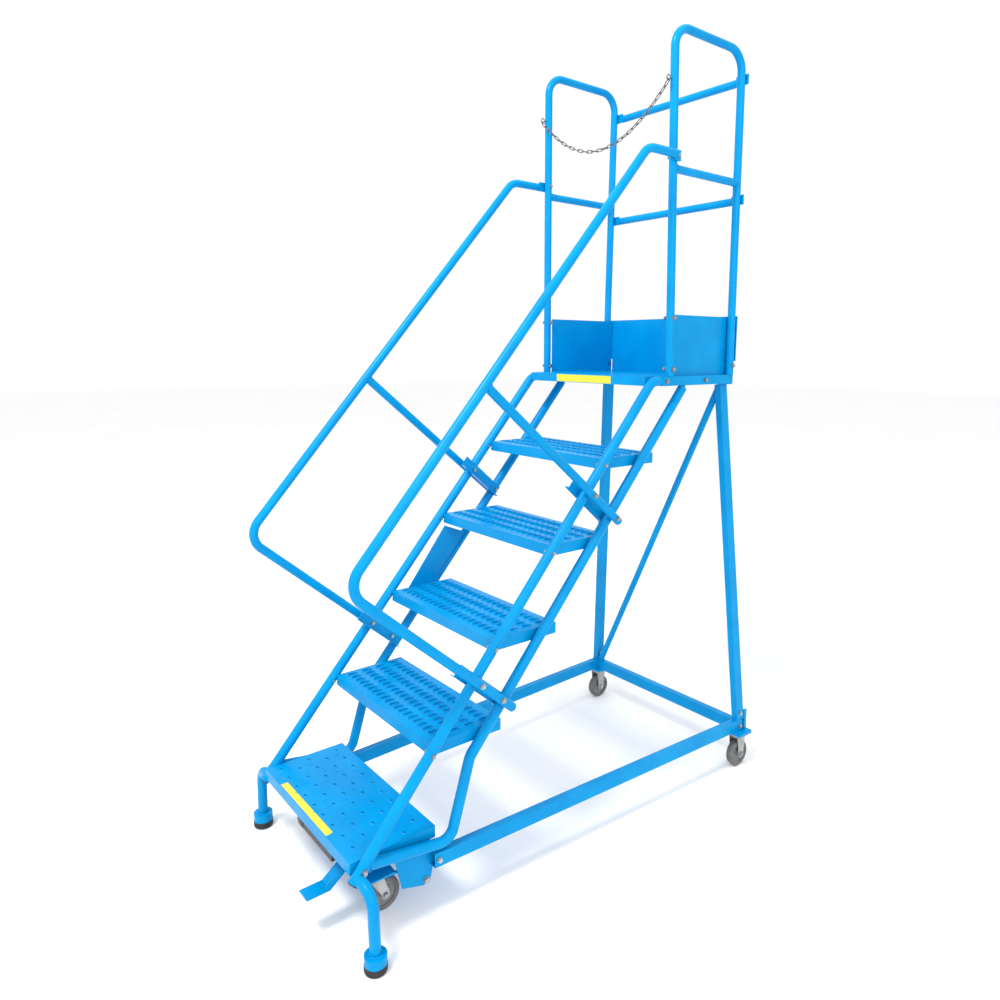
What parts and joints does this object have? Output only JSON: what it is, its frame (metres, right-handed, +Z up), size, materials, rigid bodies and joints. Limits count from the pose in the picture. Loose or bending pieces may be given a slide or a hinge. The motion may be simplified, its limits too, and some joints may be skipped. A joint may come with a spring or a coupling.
{
  "type": "mobile ladder stand",
  "caption": "Rolling steel ladder stand with perforated treads, guarded platform, bent handrails, gate chain, rubber front feet and casters on a pedal-tilted carriage.",
  "frame": {"origin": "middle of the footprint, on the floor", "axes": "+X to the climber's right, +Y rearward from the bottom tread to the platform, +Z up"},
  "size_m": [0.8419, 1.716, 2.643],
  "materials": {
    "blue_paint": "gloss powder coat",
    "zinc": "bright zinc plate",
    "black_rubber": "matt",
    "black_paint": "satin black",
    "grey_tyre": "smooth grey elastomer",
    "yellow_strip": "self-adhesive film",
    "black_plastic": "moulded plug"
  },
  "bodies": {
    "frame": {"frame_tube_front_left": "blue_paint", "frame_tube_front_right": "blue_paint", "frame_tube_rear_left": "blue_paint", "frame_tube_rear_right": "blue_paint", "tread_1": "blue_paint", "tread_2": "blue_paint", "tread_3": "blue_paint", "tread_4": "blue_paint", "tread_5": "blue_paint", "platform_deck": "blue_paint", "platform_side_rails": "blue_paint", "toe_board_left": "blue_paint", "toe_board_right": "blue_paint", "toe_board_rear": "blue_paint", "hoop_left": "blue_paint", "hoop_right": "blue_paint", "rear_rail_top": "blue_paint", "rear_rail_mid": "blue_paint", "handrail_left": "blue_paint", "handrail_right": "blue_paint", "side_brackets": "blue_paint", "side_plate_left": "blue_paint", "leg_left": "blue_paint", "leg_right": "blue_paint", "diagonal_brace": "blue_paint", "base_rail_left": "blue_paint", "base_rail_right": "blue_paint", "rear_crossbar": "blue_paint", "corner_plates": "blue_paint", "foot_leg_left": "blue_paint", "foot_leg_right": "blue_paint", "foot_pads": "black_rubber", "pivot_plates": "blue_paint", "pivot_pins": "zinc", "tube_plugs": "black_plastic", "frame_bolts": "zinc", "hazard_strips": "yellow_strip", "chain_eyes": "zinc", "rear_caster_plates": "zinc", "rear_fork_left": "zinc", "rear_fork_right": "zinc", "rear_axle_left": "zinc", "rear_axle_right": "zinc"},
    "carriage": {"carriage_frame": "blue_paint", "carriage_bar": "black_paint", "pedal": "blue_paint", "front_caster_plates": "black_paint"},
    "front_swivel_left": {"front_fork_left": "zinc", "front_axle_left": "zinc"},
    "front_roller_left": {"front_wheel_left": "grey_tyre"},
    "rear_roller_left": {"rear_wheel_left": "grey_tyre"},
    "front_swivel_right": {"front_fork_right": "zinc", "front_axle_right": "zinc"},
    "front_roller_right": {"front_wheel_right": "grey_tyre"},
    "rear_roller_right": {"rear_wheel_right": "grey_tyre"},
    "chain": {"safety_chain": "zinc", "chain_hooks": "zinc"}
  },
  "joints": [
    {"name": "carriage_tilt", "type": "hinge", "parent": "frame", "child": "carriage", "pos_m": [0, -0.544, 0.1], "axis": [1, 0, 0], "range_deg": [0, 14.5], "stiffness_Nm_per_rad": 10, "springref_deg": -45.84},
    {"name": "front_swivel_turn_left", "type": "hinge", "parent": "carriage", "child": "front_swivel_left", "pos_m": [-0.232, -0.674, 0.145], "axis": [0, 0, 1], "continuous": true},
    {"name": "front_wheel_roll_left", "type": "hinge", "parent": "front_swivel_left", "child": "front_roller_left", "pos_m": [-0.232, -0.649, 0.076], "axis": [1, 0, 0], "continuous": true},
    {"name": "rear_wheel_roll_left", "type": "hinge", "parent": "frame", "child": "rear_roller_left", "pos_m": [-0.379, 0.813, 0.05], "axis": [1, 0, 0], "continuous": true},
    {"name": "front_swivel_turn_right", "type": "hinge", "parent": "carriage", "child": "front_swivel_right", "pos_m": [0.232, -0.674, 0.145], "axis": [0, 0, 1], "continuous": true},
    {"name": "front_wheel_roll_right", "type": "hinge", "parent": "front_swivel_right", "child": "front_roller_right", "pos_m": [0.232, -0.649, 0.076], "axis": [1, 0, 0], "continuous": true},
    {"name": "rear_wheel_roll_right", "type": "hinge", "parent": "frame", "child": "rear_roller_right", "pos_m": [0.379, 0.813, 0.05], "axis": [1, 0, 0], "continuous": true},
    {"name": "chain_swing", "type": "hinge", "parent": "frame", "child": "chain", "pos_m": [0, 0.387, 2.4606], "axis": [1, 0, 0], "range_deg": [-40, 40]}
  ]
}
